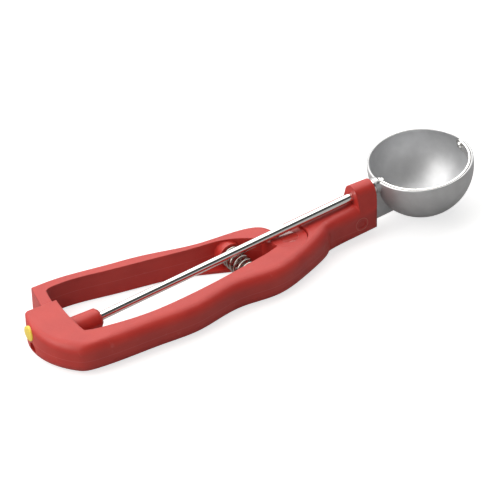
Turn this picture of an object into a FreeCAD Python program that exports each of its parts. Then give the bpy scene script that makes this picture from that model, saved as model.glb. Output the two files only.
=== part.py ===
"""Lever ice cream scoop: two-arm plastic handle, steel rod, rack and pinion, spring, bowl and scraper.

Millimetres. +Z is up from the table, +X runs towards the bowl, +Y towards the hinged lever.
The origin is the foot of the pivot's axis, on the plane that the scoop lies on.
"""
import FreeCAD
import Part
import Sketcher
import math
import os
from FreeCAD import Placement, Rotation, Vector

doc = FreeCAD.newDocument("LeverScoop")
sheet = doc.addObject("Spreadsheet::Sheet", "Sizes")

SIZES = [
    # Bowl and the rod's line
    ("bowl_radius", 25.0, "outside radius of the bowl"),
    ("bowl_wall", 1.2, "thickness of the bowl's wall"),
    ("rim_rise", 2.7, "height of the rim above the middle of the sphere"),
    ("bowl_gap", 3.5, "between the head and the bowl"),
    ("rod_offset", 2.8, "sideways from the pivot to the rod, towards the lever"),
    ("rod_clearance", 2.759, "rod's axis above the handle's top at the pivot"),
    ("rod_radius", 2.0, "drive rod"),
    ("running_gap", 0.06, "radial gap of a turning fit"),
    ("fit_gap", 0.02, "gap of a pressed or glued fit"),
    # Handle
    ("handle_height", 15.5, "thickness of the handle"),
    ("grip_round", 5.5, "rounding of the handle's outer edges"),
    ("far_round", 2.0, "rounding of the neck's far edges"),
    ("rear_round", 1.5, "rounding of the rear wall's edges at the crossbar's side"),
    # Stations along the handle, in front of the crossbar
    ("heel_ahead", 5.7, "rear end of the outer sides"),
    ("hand_ahead", 11.7, "rear end of the finger gaps"),
    ("palm_ahead", 37.7, "under the palm"),
    ("belly_ahead", 55.7, "fullest place of the grip"),
    # Stations along the handle, measured from the pivot
    ("waist_at", -37.0, "hollow in front of the belly"),
    ("swell_at", -20.0, "swell beside the pivot"),
    ("shoulder_at", 1.0, "where the swell runs out"),
    ("neck_at", 17.0, "between the pivot and the head"),
    # Outer side of the fixed arm at those stations
    ("grip_heel", -21.9, "fixed arm, outer side"),
    ("grip_palm", -23.1, "fixed arm, outer side"),
    ("grip_belly", -23.5, "fixed arm, outer side"),
    ("grip_waist", -19.3, "fixed arm, outer side"),
    ("grip_swell", -20.7, "fixed arm, outer side"),
    ("grip_shoulder", -15.2, "fixed arm, outer side"),
    ("grip_neck", -7.6, "fixed arm, outer side"),
    ("grip_ends", 4.0, "from the end of the outer side to the head"),
    # Inner side of the fixed arm
    ("inner_hand", -11.3, "fixed arm, inner side"),
    ("inner_palm", -14.1, "fixed arm, inner side"),
    ("inner_belly", -13.0, "fixed arm, inner side"),
    ("inner_waist", -9.6, "fixed arm, inner side"),
    ("inner_swell", -6.6, "fixed arm, inner side"),
    # Rear housing
    ("rear_reach", 13.7, "rear face behind the middle of the crossbar"),
    ("rear_across", 3.5, "middle of the rear wall's curve, sideways"),
    ("rear_radius", 30.4, "radius of the rear wall's curve"),
    ("lip_at", 17.5, "edge of the housing where the crossbar goes in"),
    ("corner_at", -18.8, "where the rear curve meets the fixed arm's side"),
    ("front_corner_at", -9.0, "inner corner of the housing and the fixed arm"),
    ("roof", 0.8, "housing wall over the crossbar"),
    ("floor", 0.9, "housing wall under the crossbar"),
    ("front_wall", 1.3, "housing wall between the crossbar and the finger gap"),
    ("channel_gap", 0.3, "gap round the crossbar in the housing"),
    ("channel_end", -12.5, "end of the housing's channel"),
    # Head and neck
    ("head_back", 36.6, "rear face of the head"),
    ("head_front", 47.0, "front face of the head"),
    ("head_arch", 5.1, "radius of the head's top round the rod"),
    ("head_half_width", 7.8, "half the width of the head at its foot"),
    ("head_flare_top", 14.0, "height where the head starts to narrow"),
    ("head_arch_from", 16.0, "degrees above the rod's level where the head's arch starts"),
    ("neck_gap", 0.8, "gap between the rod and the neck below it"),
    ("neck_rise", 17.0, "where the neck's underside starts to rise"),
    ("neck_bend", 90.0, "radius of the bends where the neck starts to rise"),
    ("toe_round", 3.0, "rounding of the head's lower and upright front edges"),
    # Pivot
    ("disc_radius", 8.7, "lever's disc at the pivot and the lug below it"),
    ("disc_gap", 0.3, "gap round the disc"),
    ("lap_height", 7.6, "height of the fixed lug under the lever's disc"),
    ("lap_gap", 0.2, "gap between the lug and the disc"),
    ("lug_from", 70.0, "degrees where the lug's free edge starts"),
    ("lug_to", 203.0, "degrees where the lug's free edge ends"),
    ("pin_radius", 2.5, "pivot pin"),
    ("pin_head_radius", 4.3, "head of the pivot pin"),
    ("pin_head_depth", 1.6, "thickness of the pin's head"),
    ("pin_foot", 2.0, "lower end of the pivot pin"),
    # Lever
    ("lever_drop", 1.1, "lever's top below the handle's top"),
    ("disc_drop", 0.25, "disc's top below the handle's top"),
    ("lever_lift", 0.4, "lever's underside above the table"),
    ("lever_round", 2.5, "rounding of the lever's outer edges"),
    ("lever_heel", 34.9, "lever, outer side"),
    ("lever_palm", 31.2, "lever, outer side"),
    ("lever_belly", 28.2, "lever, outer side"),
    ("lever_waist", 21.9, "lever, outer side"),
    ("lever_swell", 20.4, "lever, outer side"),
    ("tuck_at", -3.0, "where the lever's swell runs out"),
    ("lever_tuck", 13.8, "lever, outer side"),
    ("lever_joins_at", 78.0, "degrees where the outer side meets the disc"),
    ("stop_at", 27.0, "lever's inner rear corner, which meets the housing's lip"),
    ("open_hand", 28.9, "lever, inner side"),
    ("open_palm", 25.1, "lever, inner side"),
    ("open_belly", 21.9, "lever, inner side"),
    ("open_waist", 17.6, "lever, inner side"),
    ("open_swell", 13.6, "lever, inner side"),
    ("nape_at", -10.5, "lever's neck behind the disc"),
    ("open_nape", 7.0, "lever, inner side"),
    ("open_joins_at", 196.5, "degrees where the inner side meets the disc"),
    ("web_height", 1.4, "low web on the lever's inner side"),
    ("web_heel_at", -43.0, "rear end of the web"),
    ("web_heel", 17.0, "rear end of the web"),
    ("web_tip_at", -12.0, "front end of the web"),
    ("web_tip", 3.0, "front end of the web"),
    # Crossbar, rack and pinion
    ("rack_radius", 117.7, "from the pivot to the middle of the crossbar"),
    ("crossbar_width", 5.4, "width of the crossbar"),
    ("crossbar_full_to", 17.0, "end of the crossbar's full height"),
    ("rack_end", -1.9, "free end of the rack"),
    ("rack_width", 4.4, "width of the rack"),
    ("rack_back", 1.2, "thickness of the rack behind its teeth"),
    ("rack_tail", 20.0, "end of the rack inside the crossbar"),
    ("rack_pin_radius", 0.55, "pins that hold the rack"),
    ("rack_pin_inset", 2.0, "rack's pins from the ends of the crossbar's thin part"),
    ("rack_lead", 2.5, "teeth of the rack past the rod at rest"),
    ("tooth_module", 0.75, "module of the rack and the pinion"),
    ("tooth_angle", 20.0, "slope of the teeth's sides"),
    ("tooth_clearance", 0.3, "room between tooth tips and roots"),
    ("rack_tooth", 0.46, "half the width of a rack tooth at the pitch line"),
    ("pinion_tooth", 0.5, "half the width of a pinion tooth at the pitch circle"),
    ("pinion_teeth", 8, "teeth on the pinion"),
    ("rack_teeth", 8, "teeth on the rack"),
    ("pinion_length", 3.3, "toothed length of the pinion"),
    ("tooth_overhang", 0.5, "pinion teeth longer than the rack's"),
    ("hub_length", 2.1, "plain hub of the pinion"),
    ("hub_radius", 2.6, "plain hub of the pinion"),
    ("hub_pin_radius", 0.4, "cross pin through the hub and the rod"),
    ("hub_pin_inset", 0.1, "ends of the cross pin below the hub's surface"),
    ("end_play", 0.2, "gap in front of the pinion"),
    ("journal_radius", 1.3, "rod's turned-down ends"),
    ("rod_setback", 0.4, "rod's shoulder in front of the channel and its end inside the bush"),
    ("bush_radius", 2.5, "outside of the rear bush"),
    ("bush_length", 4.5, "length of the rear bush"),
    # Sleeve round the rod
    ("sleeve_length", 14.7, "sleeve in front of the housing"),
    ("sleeve_root", 5.5, "radius of the sleeve at the housing"),
    ("sleeve_nose", 4.7, "radius of the sleeve at its free end"),
    ("sleeve_straight", 2.2, "sleeve's straight part at the housing"),
    ("sleeve_edge", 1.1, "chamfer at the sleeve's free end"),
    ("sleeve_spigot", 3.4, "radius of the sleeve's spigot in the housing's wall"),
    ("spigot_setback", 0.5, "spigot's end in front of the channel"),
    # Spring
    ("spring_at", -24.0, "spring's axis, measured from the pivot along the handle"),
    ("spring_drop", 0.35, "spring's axis below the middle of the handle"),
    ("spring_radius", 4.6, "from the spring's axis to the middle of the wire"),
    ("wire_radius", 0.65, "spring wire"),
    ("spring_turns", 6, "turns of the spring"),
    ("end_pitch", 1.8, "pitch of the spring's first and last turn"),
    ("seat_low", -5.6, "spring seat on the fixed arm"),
    ("seat_high", 12.0, "spring seat on the lever"),
    ("seat_radius", 6.0, "spring seats"),
    ("seat_depth", 6.0, "spring seats"),
    ("peg_gap", 0.45, "gap between the spring and the pegs inside it"),
    ("peg_length", 3.0, "pegs that hold the spring's ends"),
    # Scraper
    ("blade_gap", 0.35, "gap between the scraper and the bowl"),
    ("blade_thickness", 0.8, "scraper strip"),
    ("blade_width", 5.0, "scraper strip"),
    ("ear_radius", 2.8, "round ends of the scraper"),
    ("blade_hub_radius", 2.2, "collar that holds the scraper on the rod"),
    ("blade_hub_length", 1.2, "collar that holds the scraper on the rod"),
    ("rod_tip_proud", 0.3, "rod's tip beyond the scraper's collar"),
    ("rivet_radius", 0.8, "scraper's front rivet"),
    ("rivet_head", 1.6, "radius of the rivet's head"),
    ("rivet_head_depth", 0.9, "thickness of the rivet's head"),
    ("dome_flat", 0.6, "flat middle of a rivet's head, as a share of its radius"),
    ("washer_radius", 2.0, "washer under the rivet's closed end"),
    ("washer_depth", 0.4, "washer under the rivet's closed end"),
    ("peen_radius", 1.2, "rivet's closed end"),
    ("peen_depth", 0.6, "rivet's closed end"),
    # Shank and its pin
    ("shank_width", 4.4, "bowl's shank"),
    ("shank_top", 6.3, "from the rod's axis down to the shank"),
    ("shank_bottom", 17.0, "from the rod's axis down to the shank's lower edge"),
    ("shank_reach", 17.5, "rear end of the shank behind the bowl"),
    ("shank_pin_reach", 14.4, "shank pin behind the bowl"),
    ("shank_pin_down", 11.3, "shank pin below the rod's axis"),
    ("shank_pin_radius", 1.5, "steel pin through head and shank"),
    ("plug_radius", 3.3, "plugs over the pin's ends"),
    ("plug_depth", 1.6, "plugs over the pin's ends"),
    ("plug_dish", 2.1, "radius of the hollow in a plug's face"),
    ("plug_dish_depth", 0.4, "depth of the hollow in a plug's face"),
    ("collar_radius", 3.7, "bowl's bearing collar round the rod"),
    ("collar_reach", 2.0, "rear face of the collar behind the bowl"),
    ("collar_sink", 0.6, "front face of the collar inside the bowl's back"),
    ("notch_half_width", 2.2, "notch in the bowl's wall for the rod"),
    ("thrust_thickness", 0.8, "thrust washer between head and collar"),
    ("thrust_radius", 3.5, "thrust washer between head and collar"),
    # Rear face
    ("button_across", 8.3, "size button, sideways"),
    ("button_drop", 4.8, "size button, below the handle's top"),
    ("button_radius", 3.55, "size button"),
    ("button_seat", 3.2, "depth of the size button's seat in the wall"),
    ("button_proud", 0.3, "size button's edge in front of the wall"),
    ("button_dome", 0.6, "dome of the size button"),
    ("stem_radius", 2.0, "stem of the size button"),
    ("stem_depth", 5.5, "depth of the stem in the wall"),
    ("hole_across", 6.0, "hanging hole, sideways"),
    ("hole_up", 3.9, "hanging hole, above the table"),
    ("hole_radius", 2.8, "hanging hole"),
    ("hole_depth", 5.2, "hanging hole"),
]

for row, (alias, value, note) in enumerate(SIZES, start=1):
    sheet.set("A%d" % row, note)
    sheet.set("B%d" % row, str(value))
    sheet.setAlias("B%d" % row, alias)
doc.recompute()

SIDEWAYS = Vector(0, 1, 0)
UP = Vector(0, 0, 1)
SLOPE = "atan((Sizes.handle_height / 2 + Sizes.rod_clearance) / Sizes.rack_radius)"
DEGREES = "(%s / 1 deg)" % SLOPE
PIVOT_TO_BOWL = "(Sizes.head_front + Sizes.bowl_gap + Sizes.bowl_radius)"
REAR_STATIONS = ["heel", "hand", "palm", "belly"]
pieces = []


def size(expression):
    """A number worked out from the sheet; a bare alias may stand for itself."""
    if expression.isidentifier():
        expression = "Sizes." + expression
    return float(sheet.evalExpression(expression))


def bind(thing, **expressions):
    """Ties properties to expressions on the sheet; a double underscore stands for a dot."""
    for name, expression in expressions.items():
        thing.setExpression(name.replace("__", "."), str(expression))
    return thing


def place(thing, x=0, y=0, z=0):
    """Puts a piece at a place given by expressions."""
    return bind(thing, Placement__Base__x=x, Placement__Base__y=y, Placement__Base__z=z)


def turn(thing, axis, degrees):
    """Turns a piece about one axis by an expression in degrees."""
    thing.Placement = Placement(Vector(), Rotation(axis, 30))
    thing.setExpression("Placement.Rotation.Angle", "(%s) * 1 deg" % degrees)
    return thing


def solid(kind, name, **expressions):
    """A primitive with its sizes bound to the sheet."""
    return bind(doc.addObject("Part::" + kind, name), **expressions)


def fuse(name, *joined):
    result = doc.addObject("Part::MultiFuse", name)
    result.Shapes = list(joined)
    return result


def cut(name, base, *tools):
    result = doc.addObject("Part::Cut", name)
    result.Base = base
    result.Tool = tools[0] if len(tools) == 1 else fuse(name + "Tools", *tools)
    return result


def cylinder_z(name, radius, length, z="0"):
    """A cylinder on the Z axis, from z upwards."""
    return place(solid("Cylinder", name, Radius=radius, Height=length), 0, 0, z)


def cylinder_y(name, radius, length, x, y, z):
    """A cylinder on the sideways axis, from y towards +Y."""
    thing = solid("Cylinder", name, Radius=radius, Height=length)
    thing.Placement = Placement(Vector(), Rotation(Vector(1, 0, 0), -90))
    return place(thing, x, y, z)


def cylinder_x(name, radius, length, x, y="0", z="0"):
    """A cylinder on the lengthwise axis, from x towards +X."""
    thing = solid("Cylinder", name, Radius=radius, Height=length)
    thing.Placement = Placement(Vector(), Rotation(SIDEWAYS, 90))
    return place(thing, x, y, z)


def box(name, length, width, height, x, y, z):
    return place(solid("Box", name, Length=length, Width=width, Height=height), x, y, z)


def slope_x(ahead, above="0"):
    """Place along the handle of a point given in the sloping frame of the bowl and the rod."""
    return "(%s + (%s) * cos(%s) - (%s) * sin(%s))" % (PIVOT_TO_BOWL, ahead, SLOPE, above, SLOPE)


def slope_z(ahead, above="0"):
    """Height above the table of a point given in the sloping frame of the bowl and the rod."""
    return "(%s + (%s) * sin(%s) + (%s) * cos(%s))" % (rod_height(PIVOT_TO_BOWL), ahead, SLOPE, above, SLOPE)


def on_slope(thing, ahead="0", across="0", above="0", degrees="-" + DEGREES):
    """Puts a piece in the sloping frame, from the middle of the bowl."""
    turn(thing, SIDEWAYS, degrees)
    return place(thing, slope_x(ahead, above), "Sizes.rod_offset + (%s)" % across, slope_z(ahead, above))


def on_rod(thing, ahead="0"):
    """Puts a piece made along Z on the rod's line, its zero this far ahead of the bowl's middle."""
    return on_slope(thing, ahead, degrees="90 - " + DEGREES)


def rod_place(x):
    """Distance along the rod, from the bowl's middle, of a place measured from the pivot."""
    return "((%s) - %s) / cos(%s)" % (x, PIVOT_TO_BOWL, SLOPE)


def rod_height(x):
    """Height of the rod's axis above the table at a place measured from the pivot."""
    return "(Sizes.handle_height + Sizes.rod_clearance + (%s) * tan(%s))" % (x, SLOPE)


def plane_of(body, role):
    return [feature for feature in body.Origin.OriginFeatures if feature.Role == role][0]


def sketch_on(body, name, role, offset=None):
    """A sketch on one of the body's own planes, moved along the plane's normal by an expression."""
    sketch = body.newObject("Sketcher::SketchObject", name)
    sketch.AttachmentSupport = [(plane_of(body, role), "")]
    sketch.MapMode = "FlatFace"
    if offset is not None:
        sketch.setExpression("AttachmentOffset.Base.z", offset)
    return sketch


def draw_polygon(sketch, corners):
    """A closed outline of straight lines, each corner held by a pair of expressions."""
    points = [Vector(size(across), size(along), 0) for across, along in corners]
    count = len(points)
    for index in range(count):
        sketch.addGeometry(Part.LineSegment(points[index], points[(index + 1) % count]))
    for index in range(count):
        sketch.addConstraint(Sketcher.Constraint("Coincident", index, 2, (index + 1) % count, 1))
    for index, (across, along) in enumerate(corners):
        for kind, expression, value in (("DistanceX", across, points[index].x),
                                        ("DistanceY", along, points[index].y)):
            held = sketch.addConstraint(Sketcher.Constraint(kind, -1, 1, index, 1, value))
            sketch.setExpression("Constraints[%d]" % held, expression)


def draw_chain(sketch, curves):
    """Curves that follow one another as a closed outline."""
    for curve in curves:
        sketch.addGeometry(curve)


def pad(body, name, sketch, length):
    feature = body.newObject("PartDesign::Pad", name)
    feature.Profile = sketch
    feature.setExpression("Length", length)
    return feature


def round_edges(body, name, feature, radius, chosen):
    """Rounds those edges of a feature that the test picks by their middle point."""
    doc.recompute()
    names = []
    for number, edge in enumerate(feature.Shape.Edges, start=1):
        middle = edge.valueAt((edge.FirstParameter + edge.LastParameter) / 2)
        if chosen(edge, middle):
            names.append("Edge%d" % number)
    fillet = body.newObject("PartDesign::Fillet", name)
    fillet.Base = (feature, names)
    fillet.setExpression("Radius", radius)
    return fillet


def turned(name, profile):
    """A turned body about Z, from (radius, height) corners given as expressions."""
    body = doc.addObject("PartDesign::Body", name)
    sketch = sketch_on(body, name + "Profile", "XZ_Plane")
    draw_polygon(sketch, profile)
    feature = body.newObject("PartDesign::Revolution", name + "Turned")
    feature.Profile = sketch
    feature.ReferenceAxis = (sketch, ["V_Axis"])
    feature.Angle = 360
    return body


def ring(name, inner, outer, low, high):
    """A plain ring about Z."""
    return turned(name, [(inner, low), (outer, low), (outer, high), (inner, high)])


def smooth(points, start, end):
    """A smooth curve through points, leaving and arriving along the two directions."""
    curve = Part.BSplineCurve()
    curve.interpolate(Points=[Vector(x, y, 0) for x, y in points],
                      InitialTangent=start, FinalTangent=end)
    return curve


def line(start, end):
    return Part.LineSegment(Vector(start[0], start[1], 0), Vector(end[0], end[1], 0))


def arc_about(centre, radius, start_degrees, end_degrees):
    """An arc counterclockwise from the start angle to the end angle."""
    circle = Part.Circle(centre, UP, radius)
    return Part.Arc(circle, math.radians(start_degrees), math.radians(end_degrees))


def heading(degrees, length=1.0):
    return Vector(math.cos(math.radians(degrees)), math.sin(math.radians(degrees)), 0) * length


def angle_at(radius, across):
    """Degrees of the point of a circle about the pivot, behind it, at a sideways place."""
    return 180 - math.degrees(math.asin(across / radius))


def behind(radius, across):
    """That point itself."""
    return heading(angle_at(radius, across), radius)


def sector(name, radius, height, low, angle_from, angle_to):
    """A sector of a disc about the pivot."""
    thing = solid("Cylinder", name, Radius=radius, Height=height, Angle=angle_to - angle_from)
    turn(thing, UP, angle_from)
    return place(thing, 0, 0, low)


def band(name, inner, outer, height, low, y_from, y_to):
    """A curved bar about the pivot, behind it, between two sideways places."""
    middle = size("(%s + %s) / 2" % (inner, outer))
    first, last = angle_at(middle, y_from), angle_at(middle, y_to)
    return cut(name, sector(name + "Outer", outer, height, low, first, last),
               sector(name + "Inner", inner, height, low, first - 5, last + 5))


def station(name):
    """Place of a station along the handle, measured from the pivot."""
    if name in REAR_STATIONS:
        return size("Sizes.%s_ahead - Sizes.rack_radius" % name)
    return size(name + "_at")


def stations(kind, names):
    return [(station(name), size(kind + "_" + name)) for name in names]


def label(thing, text):
    """Gives a finished piece the label that names its file."""
    thing.Label = text
    pieces.append(thing)


# Places that several pieces share
bar_inner = "(Sizes.rack_radius - Sizes.crossbar_width / 2)"
bar_outer = "(Sizes.rack_radius + Sizes.crossbar_width / 2)"
channel_inner = "(Sizes.rack_radius - Sizes.crossbar_width / 2 - Sizes.channel_gap)"
channel_outer = "(Sizes.rack_radius + Sizes.crossbar_width / 2 + Sizes.channel_gap)"
housing_face = "(Sizes.rack_radius - Sizes.crossbar_width / 2 - Sizes.channel_gap - Sizes.front_wall)"
near_side = "(Sizes.rod_offset - Sizes.head_half_width)"
far_side = "(Sizes.rod_offset + Sizes.head_half_width)"
rod_bore = "(Sizes.rod_radius + Sizes.running_gap)"
bowl_inside = "(Sizes.bowl_radius - Sizes.bowl_wall)"
blade_outer = "(Sizes.bowl_radius - Sizes.bowl_wall - Sizes.blade_gap)"
blade_inner = "(Sizes.bowl_radius - Sizes.bowl_wall - Sizes.blade_gap - Sizes.blade_thickness)"
pitch_radius = "(Sizes.tooth_module * Sizes.pinion_teeth / 2)"
tooth_root = "(%s + Sizes.tooth_module + Sizes.tooth_clearance)" % pitch_radius
rack_low = "(%s + %s)" % (rod_height("-Sizes.rack_radius"), tooth_root)
rack_inner = "(Sizes.rack_radius - Sizes.rack_width / 2)"
rack_outer = "(Sizes.rack_radius + Sizes.rack_width / 2)"
tooth_length = "(Sizes.pinion_length - Sizes.tooth_overhang)"
crossbar_top = "(Sizes.handle_height - Sizes.roof - Sizes.channel_gap)"
crossbar_low = "(Sizes.floor + Sizes.channel_gap)"
peg_radius = "(Sizes.spring_radius - Sizes.wire_radius - Sizes.peg_gap)"
plug_face = "(Sizes.head_half_width - Sizes.plug_depth)"
rear_face = "(0 - Sizes.rack_radius - Sizes.rear_reach)"
spring_height = "(Sizes.handle_height / 2 - Sizes.spring_drop)"
button_up = "(Sizes.handle_height - Sizes.button_drop)"
shank_back = "(Sizes.bowl_radius + Sizes.shank_reach)"
shank_pin_back = "(Sizes.bowl_radius + Sizes.shank_pin_reach)"
collar_back = "(Sizes.bowl_radius + Sizes.collar_reach)"
collar_front = "(Sizes.bowl_radius - Sizes.collar_sink)"
pinion_front = "(%s - Sizes.end_play)" % rod_place("-" + channel_inner)
pinion_back = "(%s - Sizes.hub_length - Sizes.pinion_length)" % pinion_front
hub_middle = "(%s - Sizes.hub_length / 2)" % pinion_front
bush_front = "(%s)" % rod_place("-" + channel_outer)
MIDDLE_STATIONS = ["palm", "belly", "waist", "swell"]

# Fixed arm: one moulding with the rear housing, the outer grip, the pivot's lug, the neck and the head
rear_radius = size("rear_radius")
rear_centre = Vector(size(rear_face) + rear_radius, size("rear_across"), 0)
lip = size("lip_at")
face_radius = size(housing_face)
lug_radius = size("disc_radius")
lip_angle = 180 - math.degrees(math.asin((lip - rear_centre.y) / rear_radius))
corner_angle = 180 + math.degrees(math.asin((rear_centre.y - size("corner_at")) / rear_radius))
corner = rear_centre + heading(corner_angle, rear_radius)
lug_from, lug_to = size("lug_from"), size("lug_to")
lug_end = heading(lug_to, lug_radius)
head_front = size("head_front")
side_start = (size("Sizes.head_back - Sizes.grip_ends"), size(near_side))
far_start = heading(lug_from, size(far_side) / math.sin(math.radians(lug_from)))
face_corner = behind(face_radius, size("front_corner_at"))
outer_points = [(corner.x, corner.y)] + stations("grip", ["heel"] + MIDDLE_STATIONS)
outer_points += stations("grip", ["shoulder", "neck"]) + [side_start]
inner_points = [(face_corner.x, face_corner.y)] + stations("inner", ["hand"] + MIDDLE_STATIONS)
inner_points += [(lug_end.x, lug_end.y)]
rear_curve = arc_about(rear_centre, rear_radius, lip_angle, corner_angle)
outer_side = smooth(outer_points, heading(corner_angle + 90), heading(0))
near_line = line(side_start, (head_front, size(near_side)))
far_line = line((head_front, size(far_side)), far_start)

arm_body = doc.addObject("PartDesign::Body", "ArmBody")
arm_sketch = sketch_on(arm_body, "ArmOutline", "XY_Plane")
draw_chain(arm_sketch, [
    rear_curve,
    outer_side,
    near_line,
    line((head_front, size(near_side)), (head_front, size(far_side))),
    far_line,
    line(far_start, heading(lug_from, lug_radius)),
    arc_about(Vector(), lug_radius, lug_from, lug_to),
    smooth(inner_points, heading(-35), heading(20)),
    arc_about(Vector(), face_radius, angle_at(face_radius, lip),
              angle_at(face_radius, size("front_corner_at"))),
    line(behind(face_radius, lip), rear_centre + heading(lip_angle, rear_radius)),
])
pad(arm_body, "ArmPad", arm_sketch, rod_height("Sizes.head_front"))

# Side view of the fixed arm: flat under the grip, then parallel to the rod under the neck and over it
slope = math.radians(size(DEGREES))
bend = size("neck_bend")
bend_reach = bend * math.tan(slope / 2)
over_rod = size("(Sizes.rod_radius + Sizes.neck_gap) / cos(%s)" % SLOPE)
top_rise = (over_rod - size("rod_clearance")) / math.tan(slope)


def bent_line(rise, low):
    """A level line from behind the handle, a bend and a line along the rod to the front of the head."""
    bend_end = (rise + bend_reach * math.cos(slope), low + bend_reach * math.sin(slope))
    front = head_front + 1
    return [line((size(rear_face) - 1, low), (rise - bend_reach, low)),
            arc_about(Vector(rise - bend_reach, low + bend, 0), bend, -90, -90 + math.degrees(slope)),
            line(bend_end, (front, low + (front - rise) * math.tan(slope)))]


side_body = doc.addObject("PartDesign::Body", "SideBody")
side_sketch = sketch_on(side_body, "SideView", "XZ_Plane", "0 - Sizes.rack_radius")
under, over = bent_line(size("neck_rise"), 0), bent_line(top_rise, size("handle_height"))
draw_chain(side_sketch, under + [line(under[-1].EndPoint, over[-1].EndPoint)] + over
           + [line(over[0].StartPoint, under[0].StartPoint)])
pad(side_body, "SidePad", side_sketch, "2 * Sizes.rack_radius")
arm_block = doc.addObject("Part::Common", "ArmBlock")
arm_block.Base = arm_body
arm_block.Tool = side_body
doc.recompute()


def along(curve, edge):
    """Whether a level edge follows a curve of the outline, seen from above."""
    halfway = (edge.FirstParameter + edge.LastParameter) / 2
    middle = edge.valueAt(halfway)
    level = abs(edge.tangentAt(halfway).z) < 0.5
    return level and curve.toShape().distToShape(Part.Vertex(middle.x, middle.y, 0))[0] < 0.01


grip = size("grip_round")
rounded = []
for number, edge in enumerate(arm_block.Shape.Edges, start=1):
    if along(rear_curve, edge):
        ends = [size("rear_round"), grip]
        if edge.valueAt(edge.FirstParameter).y < edge.valueAt(edge.LastParameter).y:
            ends.reverse()
        rounded.append((number, *ends))
    elif along(outer_side, edge) or along(near_line, edge):
        rounded.append((number, grip, grip))
    elif along(far_line, edge):
        rounded.append((number, size("far_round"), size("far_round")))
arm_round = doc.addObject("Part::Fillet", "ArmRound")
arm_round.Base = arm_block
arm_round.Edges = rounded

# Head: a tapered block with an arched top round the rod
head_rod = rod_height("(Sizes.head_back + Sizes.head_front) / 2")
arch_across = "Sizes.head_arch * cos(Sizes.head_arch_from * 1 deg)"
arch_above = "Sizes.head_arch * sin(Sizes.head_arch_from * 1 deg)"
head_body = doc.addObject("PartDesign::Body", "HeadBody")
head_sketch = sketch_on(head_body, "HeadProfile", "YZ_Plane", "Sizes.head_back")
draw_polygon(head_sketch, [
    (near_side, "Sizes.handle_height / 2"),
    (far_side, "Sizes.handle_height / 2"),
    (far_side, "Sizes.head_flare_top"),
    ("Sizes.rod_offset + " + arch_across, head_rod + " + " + arch_above),
    ("Sizes.rod_offset - " + arch_across, head_rod + " + " + arch_above),
    (near_side, "Sizes.head_flare_top"),
])
pad(head_body, "HeadPad", head_sketch, "Sizes.head_front - Sizes.head_back")
head_top = cylinder_x("HeadTop", "Sizes.head_arch", "Sizes.head_front - Sizes.head_back",
                      "Sizes.head_back", "Sizes.rod_offset", head_rod)

# Seat and peg for the spring's fixed end
low_seat = cylinder_y("LowSeat", "Sizes.seat_radius", "Sizes.seat_depth",
                      "Sizes.spring_at", "Sizes.seat_low - Sizes.seat_depth", spring_height)
low_peg = cylinder_y("LowPeg", peg_radius, "Sizes.peg_length + 1",
                     "Sizes.spring_at", "Sizes.seat_low - 1", spring_height)


def across_head(name, radius, start, length):
    """A cylinder across the head on the shank pin's axis."""
    return cylinder_y(name, radius, length,
                      slope_x("-" + shank_pin_back, "-Sizes.shank_pin_down"),
                      "Sizes.rod_offset + (%s)" % start,
                      slope_z("-" + shank_pin_back, "-Sizes.shank_pin_down"))


def rear_hole(name, radius, depth, across, up):
    """A blind hole into the housing's rear wall."""
    return cylinder_x(name, radius, depth + " + 5", rear_face + " - 5", across, up)


# What is taken out of the fixed arm: the crossbar's curved channel, the pivot's recess and the bores
channel = band("Channel", channel_inner, channel_outer,
               "Sizes.handle_height - Sizes.roof - Sizes.floor", "Sizes.floor",
               lip + 15, size("channel_end"))
recess = cylinder_z("DiscRecess", "Sizes.disc_radius + Sizes.disc_gap", "Sizes.handle_height * 2",
                    "Sizes.lap_height")
pivot_bore = cylinder_z("PivotBore", "Sizes.pin_radius + Sizes.fit_gap", "Sizes.handle_height",
                        "Sizes.pin_foot")
head_bore = on_rod(solid("Cylinder", "HeadBore", Radius=rod_bore,
                         Height="Sizes.head_front - Sizes.head_back + 8"),
                   rod_place("Sizes.head_back - 4"))
spigot_bore = on_rod(solid("Cylinder", "SpigotBore", Radius="Sizes.sleeve_spigot + Sizes.fit_gap",
                           Height="Sizes.front_wall + 2"), rod_place("-" + channel_inner + " - 1"))
bush_bore = on_rod(solid("Cylinder", "BushBore", Radius="Sizes.bush_radius + Sizes.fit_gap",
                         Height="Sizes.bush_length + 1"), bush_front + " - Sizes.bush_length")
shank_slot = on_slope(solid("Box", "ShankSlot", Length=shank_back,
                            Width="Sizes.shank_width + 2 * Sizes.fit_gap",
                            Height="Sizes.shank_bottom - Sizes.shank_top + 2 * Sizes.fit_gap"),
                      "-%s - Sizes.fit_gap" % shank_back, "-Sizes.shank_width / 2 - Sizes.fit_gap",
                      "-Sizes.shank_bottom - Sizes.fit_gap")
toe_back = "Sizes.head_front - Sizes.toe_round"
toe_up = "((%s - Sizes.neck_rise) * tan(%s) + Sizes.toe_round / cos(%s))" % (toe_back, SLOPE, SLOPE)
toe = cut("Toe", box("ToeBlock", "Sizes.toe_round + 1", "2 * Sizes.head_half_width + 2", toe_up + " + 1",
                     toe_back + " + Sizes.toe_round * sin(%s)" % SLOPE, near_side + " - 1", "-1"),
          cylinder_y("ToeRound", "Sizes.toe_round", "2 * Sizes.head_half_width + 4",
                     toe_back, near_side + " - 2", toe_up))


def front_edge(name, centre, block_from):
    """What a rounded upright edge of the head's front leaves out of its corner."""
    return cut(name, box(name + "Block", "Sizes.toe_round + 1", "Sizes.toe_round + 1", head_rod,
                         toe_back, block_from, "-1"),
               place(solid("Cylinder", name + "Round", Radius="Sizes.toe_round", Height=head_rod + " + 2"),
                     toe_back, centre, "-2"))


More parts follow.
